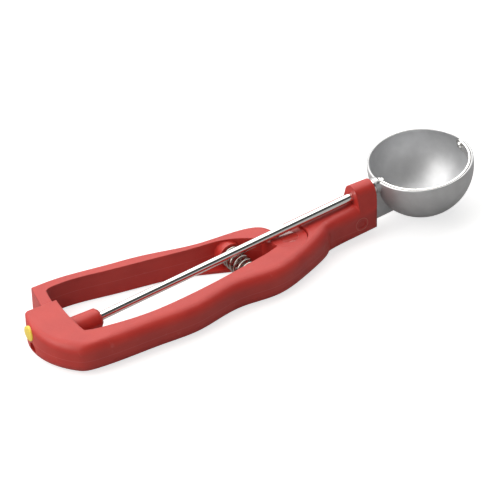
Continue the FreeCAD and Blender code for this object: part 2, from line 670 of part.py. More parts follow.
near_front = front_edge("NearFront", near_side + " + Sizes.toe_round", near_side + " - 1")
far_front = front_edge("FarFront", far_side + " - Sizes.toe_round", far_side + " - Sizes.toe_round")
frame_tools = [
    toe, near_front, far_front,
    channel, recess, pivot_bore, head_bore, spigot_bore, bush_bore, shank_slot,
    across_head("ShankPinBore", "Sizes.shank_pin_radius + Sizes.fit_gap", "-" + plug_face,
                "2 * " + plug_face),
    across_head("NearPlugBore", "Sizes.plug_radius + Sizes.fit_gap", "-Sizes.head_half_width - 5",
                "5 + Sizes.plug_depth"),
    across_head("FarPlugBore", "Sizes.plug_radius + Sizes.fit_gap", plug_face,
                "5 + Sizes.plug_depth"),
    rear_hole("StemBore", "Sizes.stem_radius + Sizes.fit_gap", "Sizes.stem_depth",
              "Sizes.button_across", button_up),
    rear_hole("ButtonSeat", "Sizes.button_radius + Sizes.fit_gap", "Sizes.button_seat",
              "Sizes.button_across", button_up),
    rear_hole("HangingHole", "Sizes.hole_radius", "Sizes.hole_depth",
              "Sizes.hole_across", "Sizes.hole_up"),
]
label(cut("FrameArm",
          fuse("ArmWhole", arm_round, head_body, head_top, low_seat, low_peg),
          *frame_tools), "frame_arm")

# Lever: the hinged arm, its disc in the pivot's recess and the curved crossbar that drives the rack
heel_corner = behind(size(bar_outer), size("lever_heel"))
stop_corner = behind(size(bar_inner), size("stop_at"))
outer_join = heading(size("lever_joins_at"), lug_radius)
inner_join = heading(size("open_joins_at"), lug_radius)
lever_outer = [(heel_corner.x, heel_corner.y), (station("hand"), size("lever_heel"))]
lever_outer += stations("lever", MIDDLE_STATIONS + ["tuck"]) + [(outer_join.x, outer_join.y)]
lever_inner = [(stop_corner.x, stop_corner.y)] + stations("open", ["hand"] + MIDDLE_STATIONS + ["nape"])
lever_inner += [(inner_join.x, inner_join.y)]

lever_body = doc.addObject("PartDesign::Body", "LeverBody")
lever_sketch = sketch_on(lever_body, "LeverOutline", "XY_Plane", "Sizes.lever_lift")
draw_chain(lever_sketch, [
    smooth(lever_outer, heading(0), heading(size("lever_joins_at") - 90)),
    line(outer_join, Vector()),
    line(Vector(), inner_join),
    smooth(lever_inner, heading(60), heading(size("open_joins_at") + 90)),
    line(stop_corner, behind(size(bar_outer), size("stop_at"))),
    arc_about(Vector(), size(bar_outer), angle_at(size(bar_outer), size("lever_heel")),
              angle_at(size(bar_outer), size("stop_at"))),
])
lever_pad = pad(lever_body, "LeverPad", lever_sketch,
                "Sizes.handle_height - Sizes.lever_drop - Sizes.lever_lift")


def is_lever_edge(edge, middle):
    """Top and bottom edges of the lever's outer side."""
    return edge.Length > 100 and middle.y > (size("lever_belly") + size("open_belly")) / 2


round_edges(lever_body, "LeverRound", lever_pad, "Sizes.lever_round", is_lever_edge)
disc = cylinder_z("LeverDisc", "Sizes.disc_radius",
                  "Sizes.handle_height - Sizes.disc_drop - Sizes.lap_height - Sizes.lap_gap",
                  "Sizes.lap_height + Sizes.lap_gap")
high_seat = cylinder_y("HighSeat", "Sizes.seat_radius", "Sizes.seat_depth",
                       "Sizes.spring_at", "Sizes.seat_high", spring_height)
high_peg = cylinder_y("HighPeg", peg_radius, "Sizes.peg_length + 1",
                      "Sizes.spring_at", "Sizes.seat_high - Sizes.peg_length", spring_height)
crossbar = band("Crossbar", bar_inner, bar_outer, "%s - %s" % (crossbar_top, crossbar_low),
                crossbar_low, size("stop_at") + 1.5, size("crossbar_full_to"))
limb = band("Limb", bar_inner, bar_outer, "%s - %s - Sizes.rack_back" % (crossbar_top, rack_low),
            rack_low + " + Sizes.rack_back", size("crossbar_full_to") + 0.5, size("rack_end"))
web = doc.addObject("PartDesign::Body", "Web")
web_sketch = sketch_on(web, "WebOutline", "XY_Plane", "Sizes.lever_lift")
draw_polygon(web_sketch, [
    ("Sizes.web_heel_at", "Sizes.web_heel"),
    ("Sizes.web_tip_at", "Sizes.web_tip"),
    ("Sizes.web_tip_at + 1", "Sizes.open_nape + 2"),
    ("Sizes.swell_at", "Sizes.open_swell + 2"),
    ("Sizes.waist_at", "Sizes.open_waist + 2"),
])
pad(web, "WebPad", web_sketch, "Sizes.web_height")


def rack_pins(name, radius):
    """Two upright cylinders through the crossbar's thin end and the plain edge of the rack."""
    track = size("Sizes.rack_radius - Sizes.rack_width / 2 + (Sizes.rack_width - %s) / 2" % tooth_length)
    upright = []
    ends = (size("Sizes.rack_end + Sizes.rack_pin_inset"),
            size("Sizes.crossbar_full_to - Sizes.rack_pin_inset"))
    for number, across in enumerate(ends, start=1):
        thing = solid("Cylinder", "%s%d" % (name, number), Radius=radius,
                      Height="%s - %s" % (crossbar_top, rack_low))
        spot = behind(track, across)
        upright.append(place(thing, spot.x, spot.y, rack_low))
    return upright


lever_tools = [
    cylinder_z("LugSpace", "Sizes.disc_radius + Sizes.disc_gap", "Sizes.lap_height + Sizes.lap_gap"),
    cylinder_z("LeverPinHole", "Sizes.pin_radius + Sizes.running_gap", "Sizes.handle_height",
               "Sizes.lap_height"),
    cylinder_z("LeverHeadHole", "Sizes.pin_head_radius + Sizes.running_gap", "Sizes.handle_height",
               "Sizes.handle_height - Sizes.disc_drop - Sizes.pin_head_depth"),
    band("RackPocket", rack_inner + " - Sizes.fit_gap", rack_outer + " + Sizes.fit_gap",
         "Sizes.rack_back + Sizes.fit_gap", rack_low + " - Sizes.fit_gap",
         size("rack_tail") + size("fit_gap"), size("rack_end") - 3),
] + rack_pins("LimbHole", "Sizes.rack_pin_radius + Sizes.fit_gap")
label(cut("LeverArm", fuse("LeverWhole", lever_body, disc, high_seat, high_peg, crossbar, limb, web),
          *lever_tools), "lever_arm")

# Rack: a curved steel strip under the crossbar's thin end, its teeth parallel to the rod as they pass it
rack_body = doc.addObject("PartDesign::Body", "RackBody")
rack_sketch = sketch_on(rack_body, "RackOutline", "XY_Plane", rack_low)
rack_radii = (size(rack_inner), size(rack_outer))
rack_first = angle_at(size("rack_radius"), size("rack_tail"))
rack_last = angle_at(size("rack_radius"), size("rack_end"))
draw_chain(rack_sketch, [
    arc_about(Vector(), rack_radii[0], rack_first, rack_last),
    line(heading(rack_last, rack_radii[0]), heading(rack_last, rack_radii[1])),
    arc_about(Vector(), rack_radii[1], rack_first, rack_last),
    line(heading(rack_first, rack_radii[1]), heading(rack_first, rack_radii[0])),
])
pad(rack_body, "RackPad", rack_sketch, "Sizes.rack_back")
tooth_sketch = sketch_on(rack_body, "RackTooth", "YZ_Plane")
pitch_degrees = "(Sizes.tooth_module / Sizes.rack_radius * 180)"
tooth_start = "-" + rack_outer
beside_rod = Placement(Vector(size(tooth_start), size("rod_offset"), size(rod_height(tooth_start))),
                       Rotation(SIDEWAYS, -size(DEGREES)))
first_angle = size("(Sizes.rack_teeth - Sizes.rack_lead) * " + pitch_degrees)
first_tooth = Placement(Vector(), Rotation(UP, -first_angle))
sketch_plane = plane_of(rack_body, "YZ_Plane").Placement
tooth_sketch.AttachmentOffset = sketch_plane.inverse() * first_tooth * beside_rod * sketch_plane
tooth_slant = "tan(Sizes.tooth_angle * 1 deg)"
tip_half = "(Sizes.rack_tooth - Sizes.tooth_module * %s)" % tooth_slant
tooth_top = "(%s + Sizes.rack_back / 3)" % tooth_root
top_half = "(Sizes.rack_tooth + (%s - %s) * %s)" % (tooth_top, pitch_radius, tooth_slant)
tooth_tip = "(%s - Sizes.tooth_module)" % pitch_radius
draw_polygon(tooth_sketch, [("-" + tip_half, tooth_tip), (tip_half, tooth_tip),
                            (top_half, tooth_top), ("-" + top_half, tooth_top)])
tooth_pad = pad(rack_body, "ToothPad", tooth_sketch, tooth_length)
tooth_row = rack_body.newObject("PartDesign::PolarPattern", "ToothRow")
tooth_row.Originals = [tooth_pad]
tooth_row.Axis = (plane_of(rack_body, "Z_Axis"), [""])
tooth_row.setExpression("Angle", "(Sizes.rack_teeth - 1) * %s * 1 deg" % pitch_degrees)
tooth_row.setExpression("Occurrences", "Sizes.rack_teeth")
rack_body.Tip = tooth_row
label(cut("Rack", rack_body, *rack_pins("RackHole", "Sizes.rack_pin_radius + Sizes.fit_gap")),
      "toothed_rack")
label(fuse("RackPins", *rack_pins("RackPin", "Sizes.rack_pin_radius")), "rack_pins")

# Pivot pin: headed red pin, pressed into the fixed lug
pin_head_low = "(Sizes.handle_height - Sizes.disc_drop - Sizes.pin_head_depth + Sizes.running_gap)"
pin_top = "(Sizes.handle_height - Sizes.disc_drop)"
label(turned("PivotPin", [
    ("0", "Sizes.pin_foot"),
    ("Sizes.pin_radius", "Sizes.pin_foot"),
    ("Sizes.pin_radius", pin_head_low),
    ("Sizes.pin_head_radius", pin_head_low),
    ("Sizes.pin_head_radius", pin_top),
    ("0", pin_top),
]), "pivot_pin")

# Drive rod: turned down behind for the pinion and the bush, and in front for the scraper
rod_step = rod_place("-" + channel_inner + " + Sizes.rod_setback")
rod_end = "%s - Sizes.bush_length + Sizes.rod_setback" % bush_front
hub_start = "sqrt(%s^2 - Sizes.blade_hub_radius^2)" % blade_inner
rod_tip = "Sizes.rod_tip_proud + Sizes.blade_hub_length - %s" % hub_start
rod_body = turned("RodBody", [
    ("0", rod_end),
    ("Sizes.journal_radius", rod_end),
    ("Sizes.journal_radius", rod_step),
    ("Sizes.rod_radius", rod_step),
    ("Sizes.rod_radius", "-" + blade_outer),
    ("Sizes.journal_radius", "-" + blade_outer),
    ("Sizes.journal_radius", rod_tip),
    ("0", rod_tip),
])
pin_hole = "Sizes.hub_pin_radius + Sizes.fit_gap"
rod_hole = cylinder_y("RodHole", pin_hole, "Sizes.hub_radius * 2", "0", "-Sizes.hub_radius", hub_middle)
label(on_rod(cut("DriveRod", rod_body, rod_hole)), "drive_rod")

# Pinion: eight teeth and a plain hub, held on the rod by a cross pin
pinion_body = doc.addObject("PartDesign::Body", "PinionBody")
pinion_sketch = sketch_on(pinion_body, "PinionOutline", "XY_Plane")
tooth_sides = [(size(tooth_tip + " - Sizes.tooth_clearance"), size("pinion_tooth")),
               (size(pitch_radius), size("pinion_tooth")),
               (size(pitch_radius + " + Sizes.tooth_module"),
                size("Sizes.pinion_tooth - Sizes.tooth_module * " + tooth_slant))]
teeth = int(size("pinion_teeth"))
gear_points = []
for number in range(teeth):
    middle_line = 360.0 * number / teeth
    for radius, half in tooth_sides:
        gear_points.append(heading(middle_line - math.degrees(math.asin(half / radius)), radius))
    for radius, half in reversed(tooth_sides):
        gear_points.append(heading(middle_line + math.degrees(math.asin(half / radius)), radius))
draw_chain(pinion_sketch, [line(point, gear_points[(number + 1) % len(gear_points)])
                           for number, point in enumerate(gear_points)])
pad(pinion_body, "PinionPad", pinion_sketch, "Sizes.pinion_length")
hub = cylinder_z("PinionHub", "Sizes.hub_radius", "Sizes.hub_length", "Sizes.pinion_length")
pinion_tools = [
    cylinder_z("PinionBore", "Sizes.journal_radius + Sizes.fit_gap",
               "Sizes.pinion_length + Sizes.hub_length"),
    cylinder_y("PinionHole", pin_hole, "Sizes.hub_radius * 2", "0", "-Sizes.hub_radius",
               "Sizes.pinion_length + Sizes.hub_length / 2"),
]
label(on_rod(cut("Pinion", fuse("PinionWhole", pinion_body, hub), *pinion_tools), pinion_back),
      "drive_pinion")
label(cylinder_y("PinionPin", "Sizes.hub_pin_radius", "2 * (Sizes.hub_radius - Sizes.hub_pin_inset)",
                 slope_x(hub_middle), "Sizes.rod_offset - Sizes.hub_radius + Sizes.hub_pin_inset",
                 slope_z(hub_middle)), "pinion_pin")

# Bearings of the rod: red sleeve in the housing's front wall, brass bush in its rear wall
sleeve_root = rod_place("-" + housing_face)
sleeve_front = rod_place("-%s + Sizes.sleeve_length" % housing_face)
sleeve_collar = doc.addObject("Part::Common", "SleeveCollar")
sleeve_collar.Base = on_rod(turned("SleeveBlank", [
    (rod_bore, sleeve_root + " - Sizes.front_wall"),
    ("Sizes.sleeve_root", sleeve_root + " - Sizes.front_wall"),
    ("Sizes.sleeve_root", sleeve_root + " + Sizes.sleeve_straight"),
    ("Sizes.sleeve_nose", sleeve_front + " - Sizes.sleeve_edge"),
    ("Sizes.sleeve_nose - Sizes.sleeve_edge", sleeve_front),
    (rod_bore, sleeve_front),
]))
sleeve_collar.Tool = cylinder_z("SleeveLimit", "%s - Sizes.fit_gap" % housing_face, "Sizes.handle_height")
sleeve_spigot = on_rod(ring("SleeveSpigot", rod_bore, "Sizes.sleeve_spigot",
                            rod_place("-%s + Sizes.spigot_setback" % channel_inner),
                            sleeve_root + " + Sizes.front_wall"))
label(fuse("Sleeve", sleeve_collar, sleeve_spigot), "rod_sleeve")
label(on_rod(ring("RearBush", "Sizes.journal_radius + Sizes.running_gap", "Sizes.bush_radius",
                  bush_front + " - Sizes.bush_length", bush_front)), "rear_bush")
label(on_rod(ring("ThrustWasher", rod_bore, "Sizes.thrust_radius",
                  "-%s - Sizes.running_gap - Sizes.thrust_thickness" % collar_back,
                  "-%s - Sizes.running_gap" % collar_back)), "thrust_washer")

# Bowl: thin half sphere in one casting with the rod's bearing collar and the flat shank
bowl_radii = (size("bowl_radius"), size(bowl_inside))
wall_middle = sum(bowl_radii) / 2
half_wall = size("Sizes.bowl_wall / 2")
rim_degrees = math.degrees(math.asin((size("rim_rise") - half_wall) / wall_middle))
rim_top = heading(rim_degrees, wall_middle) + heading(rim_degrees + 90, half_wall)
shell = doc.addObject("PartDesign::Body", "Shell")
shell_sketch = sketch_on(shell, "ShellProfile", "XZ_Plane")
draw_chain(shell_sketch, [
    arc_about(Vector(), bowl_radii[0], -90, rim_degrees),
    Part.Arc(heading(rim_degrees, bowl_radii[0]), rim_top, heading(rim_degrees, bowl_radii[1])),
    arc_about(Vector(), bowl_radii[1], -90, rim_degrees),
    line(heading(-90, bowl_radii[1]), heading(-90, bowl_radii[0])),
])
shell_turned = shell.newObject("PartDesign::Revolution", "ShellTurned")
shell_turned.Profile = shell_sketch
shell_turned.ReferenceAxis = (shell_sketch, ["V_Axis"])
shell_turned.Angle = 360
collar = cylinder_x("Collar", "Sizes.collar_radius", "Sizes.collar_reach + Sizes.collar_sink",
                    "-" + collar_back)
collar_web = box("CollarWeb", "Sizes.collar_reach + Sizes.collar_sink", "Sizes.shank_width",
                 "Sizes.shank_top", "-" + collar_back, "-Sizes.shank_width / 2",
                 "-Sizes.shank_top - 1")
shank_blank = box("ShankBlank", shank_back, "Sizes.shank_width",
                  "Sizes.shank_bottom - Sizes.shank_top", "-" + shank_back,
                  "-Sizes.shank_width / 2", "-Sizes.shank_bottom")
shank = cut("Shank", shank_blank,
            solid("Sphere", "ShankEnd", Radius="Sizes.bowl_radius - Sizes.bowl_wall / 2"))
bowl_tools = [
    cylinder_x("CollarBore", rod_bore, collar_back, "-%s - 1" % collar_back),
    cylinder_x("NotchRound", "Sizes.notch_half_width", collar_front, "-" + collar_front),
    box("Notch", collar_front, "Sizes.notch_half_width * 2", "Sizes.rim_rise + 5",
        "-" + collar_front, "-Sizes.notch_half_width", "0"),
    cylinder_x("RivetHole", "Sizes.rivet_radius + Sizes.fit_gap", "Sizes.bowl_radius", "5"),
    cylinder_y("ShankHole", "Sizes.shank_pin_radius + Sizes.fit_gap", "Sizes.shank_width * 2",
               "-" + shank_pin_back, "-Sizes.shank_width", "-Sizes.shank_pin_down"),
]
label(on_slope(cut("Bowl", fuse("BowlWhole", shell, collar, collar_web, shank), *bowl_tools)), "bowl")

# Shank pin and the two red plugs over its ends
label(across_head("ShankPin", "Sizes.shank_pin_radius", "-%s" % plug_face, "2 * %s" % plug_face),
      "shank_pin")
plugs = []
for side, start, dish in (("Near", "-Sizes.head_half_width", "-Sizes.head_half_width"),
                          ("Far", plug_face, "Sizes.head_half_width - Sizes.plug_dish_depth")):
    plug = across_head(side + "Plug", "Sizes.plug_radius", start, "Sizes.plug_depth")
    hollow = across_head(side + "Dish", "Sizes.plug_dish", dish, "Sizes.plug_dish_depth")
    plugs.append(cut(side + "PlugDished", plug, hollow))
label(fuse("ShankPlugs", *plugs), "shank_pin_plugs")

# Scraper: a strip bent to a half circle inside the bowl, with a round ear at each end
strip_blank = solid("Cylinder", "StripBlank", Radius=blade_outer, Height="Sizes.blade_width", Angle="180")
turn(strip_blank, UP, "180")
place(strip_blank, 0, 0, "-Sizes.blade_width / 2")
strip = cut("Strip", strip_blank,
            cylinder_z("StripInside", blade_inner, "Sizes.blade_width", "-Sizes.blade_width / 2"))
blade_whole = fuse("BladeWhole", strip,
                   cylinder_x("RearEar", "Sizes.ear_radius", "Sizes.blade_thickness", "-" + blade_outer),
                   cylinder_x("FrontEar", "Sizes.ear_radius", "Sizes.blade_thickness", blade_inner))
label(on_slope(cut("Blade", blade_whole,
                   cylinder_x("RodEye", "Sizes.journal_radius + Sizes.fit_gap", "Sizes.bowl_radius",
                              "-Sizes.bowl_radius"),
                   cylinder_x("RivetEye", "Sizes.rivet_radius + Sizes.running_gap",
                              "Sizes.bowl_radius", "0"))), "scraper_blade")
label(on_rod(ring("BladeHub", "Sizes.journal_radius + Sizes.fit_gap", "Sizes.blade_hub_radius",
                  "-" + hub_start, "Sizes.blade_hub_length - " + hub_start)), "blade_hub")

# Rivet that the scraper's front ear turns on, with its washer outside the bowl
head_face = "(sqrt(%s^2 - Sizes.rivet_head^2) - Sizes.fit_gap)" % blade_inner
peen_low = "(Sizes.bowl_radius + Sizes.washer_depth)"
label(on_rod(turned("Rivet", [
    ("0", head_face + " - Sizes.rivet_head_depth"),
    ("Sizes.rivet_head * Sizes.dome_flat", head_face + " - Sizes.rivet_head_depth"),
    ("Sizes.rivet_head", head_face + " - Sizes.rivet_head_depth * (1 - Sizes.dome_flat)"),
    ("Sizes.rivet_head", head_face),
    ("Sizes.rivet_radius", head_face),
    ("Sizes.rivet_radius", peen_low),
    ("Sizes.peen_radius", peen_low),
    ("Sizes.peen_radius * Sizes.dome_flat", peen_low + " + Sizes.peen_depth"),
    ("0", peen_low + " + Sizes.peen_depth"),
])), "blade_rivet")
label(on_rod(ring("RivetWasher", "Sizes.rivet_radius + Sizes.fit_gap", "Sizes.washer_radius",
                  "Sizes.bowl_radius", peen_low)), "rivet_washer")

# Size button: yellow domed plug in the housing's rear wall
button = turned("Button", [
    ("0", "-Sizes.stem_depth"),
    ("Sizes.stem_radius", "-Sizes.stem_depth"),
    ("Sizes.stem_radius", "-Sizes.button_seat"),
    ("Sizes.button_radius", "-Sizes.button_seat"),
    ("Sizes.button_radius", "Sizes.button_proud"),
    ("Sizes.button_radius * 0.8", "Sizes.button_proud + Sizes.button_dome * 0.6"),
    ("Sizes.button_radius * 0.45", "Sizes.button_proud + Sizes.button_dome"),
    ("0", "Sizes.button_proud + Sizes.button_dome"),
])
button.Placement = Placement(Vector(), Rotation(SIDEWAYS, -90))
label(place(button, rear_face, "Sizes.button_across", button_up), "size_button")


# Spring: round wire from seat to seat, its first and last turn closer than the rest
coil_radius = size("spring_radius")
wire_radius = size("wire_radius")
turns = int(size("spring_turns"))
end_pitch = size("end_pitch")
coil_start = wire_radius + size("fit_gap")
coil_length = size("seat_high") - size("seat_low") - 2 * coil_start
pitch = (coil_length - 2 * end_pitch) / (turns - 2)


def coil_rise(turned_by):
    """Height of the wire above its first end after this many turns."""
    middle = min(max(turned_by - 1, 0), turns - 2)
    return end_pitch * (turned_by - middle) + pitch * middle


def coil_point(turned_by):
    return heading(360 * turned_by, coil_radius) + UP * (coil_start + coil_rise(turned_by))


def coil_direction(turned_by):
    step = 0.001
    before, after = max(turned_by - step, 0), min(turned_by + step, turns)
    climb = (coil_rise(after) - coil_rise(before)) / (after - before)
    return (heading(360 * turned_by + 90, 2 * math.pi * coil_radius) + UP * climb).normalize()


def tangent_arc(start, middle, end):
    """The arc from start to end whose tangents there point at and from the middle corner."""
    chord_middle = (start + end) / 2
    rise = middle - chord_middle
    reach = (end - start).Length / 2
    sagitta = reach * math.tan(math.atan2(rise.Length, reach) / 2)
    return Part.Arc(start, chord_middle + rise * (sagitta / rise.Length), end).toShape()


def biarc(start, start_direction, end, end_direction):
    """Two arcs that leave one point and reach the other along the given directions."""
    across = end - start
    both = start_direction + end_direction
    square = 2 * (1 - start_direction.dot(end_direction))
    half = across.dot(both)
    arm = (math.sqrt(half ** 2 + square * across.dot(across)) - half) / square
    first, last = start + start_direction * arm, end - end_direction * arm
    joint = (first + last) / 2
    return [tangent_arc(start, first, joint), tangent_arc(joint, last, end)]


quarters = [number / 4 for number in range(4 * turns + 1)]
wire_edges = []
for start, end in zip(quarters, quarters[1:]):
    wire_edges += biarc(coil_point(start), coil_direction(start), coil_point(end), coil_direction(end))
wire_path = Part.Wire(wire_edges)
wire_end = Part.Wire(Part.Circle(coil_point(0), coil_direction(0), wire_radius).toShape())
spring = doc.addObject("Part::Feature", "Spring")
spring.Shape = wire_path.makePipeShell([wire_end], True, False)
spring.Placement = Placement(Vector(size("spring_at"), size("seat_low"), size(spring_height)),
                             Rotation(Vector(1, 0, 0), -90))
label(spring, "compression_spring")
samples = [number / 48 for number in range(48 * turns + 1)]
least_gap = min((coil_point(a) - coil_point(b)).Length for a in samples for b in samples
                if b - a > 0.5) - 2 * wire_radius
print("spring: %d turns, least gap to itself %.2f mm" % (turns, least_gap))

doc.recompute()
failed = [thing.Name for thing in doc.Objects if "Invalid" in thing.State or "Error" in thing.State]
if failed:
    raise RuntimeError("failed: " + ", ".join(failed))
for piece in pieces:
    if piece.Shape.isNull() or not piece.Shape.isValid():
        raise RuntimeError(piece.Label + " has no valid shape")
os.makedirs("parts", exist_ok=True)
for piece in pieces:
    piece.Shape.exportStep(os.path.join("parts", piece.Label + ".step"))
    print("%-20s %d solid(s) %9.1f mm3" % (piece.Label, len(piece.Shape.Solids), piece.Shape.Volume))
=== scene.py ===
"""Lever ice cream scoop, dressed for a product picture: moulded red grip, steel rod, cast bowl.

Metres. +Z is up from the table, +X runs towards the bowl, +Y towards the hinged lever.
"""

import math

import bpy
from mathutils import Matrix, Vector


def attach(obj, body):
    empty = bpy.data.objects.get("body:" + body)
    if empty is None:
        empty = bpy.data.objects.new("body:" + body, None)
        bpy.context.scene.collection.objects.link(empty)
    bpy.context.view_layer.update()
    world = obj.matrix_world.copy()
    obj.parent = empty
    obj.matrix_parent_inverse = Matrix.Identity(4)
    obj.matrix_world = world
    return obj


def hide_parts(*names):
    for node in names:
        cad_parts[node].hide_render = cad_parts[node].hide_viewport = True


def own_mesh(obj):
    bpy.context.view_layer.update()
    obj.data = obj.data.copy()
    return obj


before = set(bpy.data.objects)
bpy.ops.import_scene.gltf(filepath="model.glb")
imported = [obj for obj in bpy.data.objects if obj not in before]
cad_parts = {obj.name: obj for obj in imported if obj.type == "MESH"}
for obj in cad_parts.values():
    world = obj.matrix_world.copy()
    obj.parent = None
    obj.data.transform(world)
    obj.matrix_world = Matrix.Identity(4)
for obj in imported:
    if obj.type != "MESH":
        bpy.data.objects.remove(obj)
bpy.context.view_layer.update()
scene = bpy.context.scene

# Camera
# A long lens, 1.4 m away, above and behind the near side of the grip. The picture is square, and the
# lens covers 500 units of its width at a distance of 3000.
camera_data = bpy.data.cameras.new("Camera")
camera_data.sensor_width = 36.0
camera_data.lens = 216.0
camera = bpy.data.objects.new("Camera", camera_data)
camera.location = (-0.603113, -0.947439, 0.799224)
camera.rotation_euler = [math.radians(turn) for turn in (54.835017, 1.484394, -32.618877)]
scene.collection.objects.link(camera)
scene.camera = camera

# Studio
# A pale table that runs out into a white room, under a wide soft lamp above the far side and a smaller one
# behind the grip. Polished metal sees the far side bright and the near side dark; the room lights little.


class Wire:
    """A shader socket that takes part in Python sums; each operator adds its Math node."""

    def __init__(self, tree, socket):
        self.tree = tree
        self.socket = socket

    def __add__(self, other):
        return self.tree.maths("ADD", self, other)

    def __sub__(self, other):
        return self.tree.maths("SUBTRACT", self, other)

    def __rsub__(self, other):
        return self.tree.maths("SUBTRACT", other, self)

    def __mul__(self, other):
        return self.tree.maths("MULTIPLY", self, other)

    __radd__ = __add__
    __rmul__ = __mul__


class Finish:
    """A node tree of one surface finish, built call by call."""

    def __init__(self, owner):
        owner.use_nodes = True
        self.owner = owner
        self.nodes = owner.node_tree.nodes
        self.links = owner.node_tree.links
        self.nodes.clear()

    def node(self, kind, settings=None, sockets=None, out=0):
        """Adds a node: its settings first, then the value or link of each named or numbered socket."""
        made = self.nodes.new("ShaderNode" + kind)
        for name, value in (settings or {}).items():
            setattr(made, name, value)
        for name, value in (sockets or {}).items():
            if isinstance(value, Wire):
                self.links.new(value.socket, made.inputs[name])
            elif isinstance(value, tuple) and len(value) == 3 and made.inputs[name].type == "RGBA":
                made.inputs[name].default_value = (*value, 1)
            else:
                made.inputs[name].default_value = value
        return Wire(self, made.outputs[out]) if made.outputs else None

    def maths(self, operation, first, second):
        return self.node("Math", {"operation": operation}, {0: first, 1: second})

    def along(self, spot, direction):
        """How far a spot lies along a direction."""
        return self.node("VectorMath", {"operation": "DOT_PRODUCT"}, {0: spot, 1: direction}, out="Value")

    def smooth(self, value, low, high):
        """0 below low, 1 above high, and an even turn between them."""
        return self.node("MapRange", {"interpolation_type": "SMOOTHSTEP"},
                         {"Value": value, "From Min": low, "From Max": high})

    def blend(self, share, first, second):
        """A colour between two, by share."""
        return self.node("Mix", {"data_type": "RGBA"}, {0: share, 6: first, 7: second}, out=2)

    def place(self):
        return self.node("TexCoord", out="Object")

    def grains(self, size, detail=2.0, stretch=None):
        """Noise whose features are about this many metres wide, drawn out along the axes by stretch."""
        place = self.place()
        if stretch:
            place = self.node("Mapping", None, {"Vector": place, "Scale": stretch})
        return self.node("TexNoise", None, {"Vector": place, "Scale": 1 / size, "Detail": detail})

    def surface(self, shader, kind="Material"):
        self.node("Output" + kind, None, {"Surface": shader})


table_side = 12.0
below_scoop = 0.0001
bpy.ops.object.select_all(action="DESELECT")
bpy.ops.mesh.primitive_plane_add(size=table_side, location=(0, 0, -below_scoop))
table = bpy.context.object
table.name = "table"
table_finish = Finish(bpy.data.materials.new("table_white"))
seen = table_finish.node("LightPath", out="Is Camera Ray")
paper = table_finish.node("BsdfDiffuse", None, {"Color": (0.55, 0.55, 0.55)})
no_glow = table_finish.node("Emission", None, {"Strength": 0.0})
glow = table_finish.node("Emission", None, {"Color": (1.0, 1.0, 1.0), "Strength": 0.72})
table_finish.surface(table_finish.node("AddShader", None, {
    0: paper, 1: table_finish.node("MixShader", None, {0: seen, 1: no_glow, 2: glow})}))
table.data.materials.append(table_finish.owner)

room = bpy.data.worlds.new("room")
scene.world = room
air = Finish(room)
facing = air.node("TexCoord", out="Generated")
far_side = air.smooth(air.along(facing, (0.0, 1.0, 0.0)), -0.10, 0.06)
low_down = 1.0 - air.smooth(air.along(facing, (0.0, 0.0, 1.0)), 0.28, 0.48)
near_side = air.blend(low_down, (0.06, 0.06, 0.06), (0.42, 0.42, 0.42))
dim = air.node("Background", None, {"Color": (1.0, 1.0, 1.0), "Strength": 0.16})
white = air.node("Background", None, {"Color": (1.0, 1.0, 1.0), "Strength": 1.0})
mirrored = air.node("Background", None, {
    "Color": air.blend(far_side, near_side, (1.0, 1.0, 1.0)), "Strength": 1.3})
polished_sees = air.node("MixShader", None, {
    0: air.node("LightPath", out="Is Glossy Ray"), 1: dim, 2: mirrored})
air.surface(air.node("MixShader", None, {0: air.node("LightPath", out="Is Camera Ray"),
                                         1: polished_sees, 2: white}), "World")


def soft_lamp(name, place, aim, width, depth, power):
    """A rectangular soft box that faces a point."""
    data = bpy.data.lights.new(name, "AREA")
    data.shape = "RECTANGLE"
    data.size, data.size_y = width, depth
    data.energy = power
    data.color = (1.0, 0.98, 0.95)
    lamp = bpy.data.objects.new(name, data)
    lamp.location = place
    lamp.rotation_euler = (Vector(aim) - Vector(place)).to_track_quat("-Z", "Y").to_euler()
    scene.collection.objects.link(lamp)


soft_lamp("overhead", (-0.35, 0.88, 1.00), (-0.35, 0.88, 0), 2.6, 2.0, 27.0)
soft_lamp("rear", (-1.06, -0.05, 0.88), (0, 0, 0), 1.1, 0.9, 7.0)

scene.view_settings.view_transform = "Standard"

# Fixed arm
# One thick-walled moulding in matt red plastic: rear housing, near grip, pivot lug, neck and head.
# It comes from the mould with softly broken edges and a fine sparked grain.


def wear(node, finish):
    """Puts a finish on a CAD node."""
    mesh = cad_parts[node].data
    mesh.materials.clear()
    mesh.materials.append(finish.owner)


red = Finish(bpy.data.materials.new("red_plastic"))
up = red.node("SeparateXYZ", None, {0: red.place()}, out="Z")
parting_height = 0.0076
from_parting = red.maths("ABSOLUTE", up - parting_height, 0.0)
parting = 1.0 - red.smooth(from_parting, 0.00006, 0.00018)
mottle = red.smooth(red.grains(0.012, 3.0), 0.3, 0.7)
scuffs = red.smooth(red.grains(0.0035, 6.0), 0.60, 0.78) * red.smooth(red.grains(0.020, 2.0), 0.45, 0.60)
sparks = red.grains(0.00035, 3.0)
# Painted highlight: a thin pale ring round the edge of each dished plug, where light would catch it.
plug_middle = (0.03726, 0.0, 0.01024)
sideways = red.node("VectorMath", {"operation": "MULTIPLY"}, {0: red.place(), 1: (1.0, 0.0, 1.0)})
from_plug = red.node("VectorMath", {"operation": "DISTANCE"}, {0: sideways, 1: plug_middle}, out="Value")
plug_edge_highlight = red.smooth(from_plug, 0.0029, 0.0031) * (1.0 - red.smooth(from_plug, 0.0033, 0.0035))
bare = red.blend(mottle, (0.52, 0.032, 0.024), (0.57, 0.040, 0.029))
scuffed = red.blend(scuffs * 0.35, bare, (0.66, 0.16, 0.13))
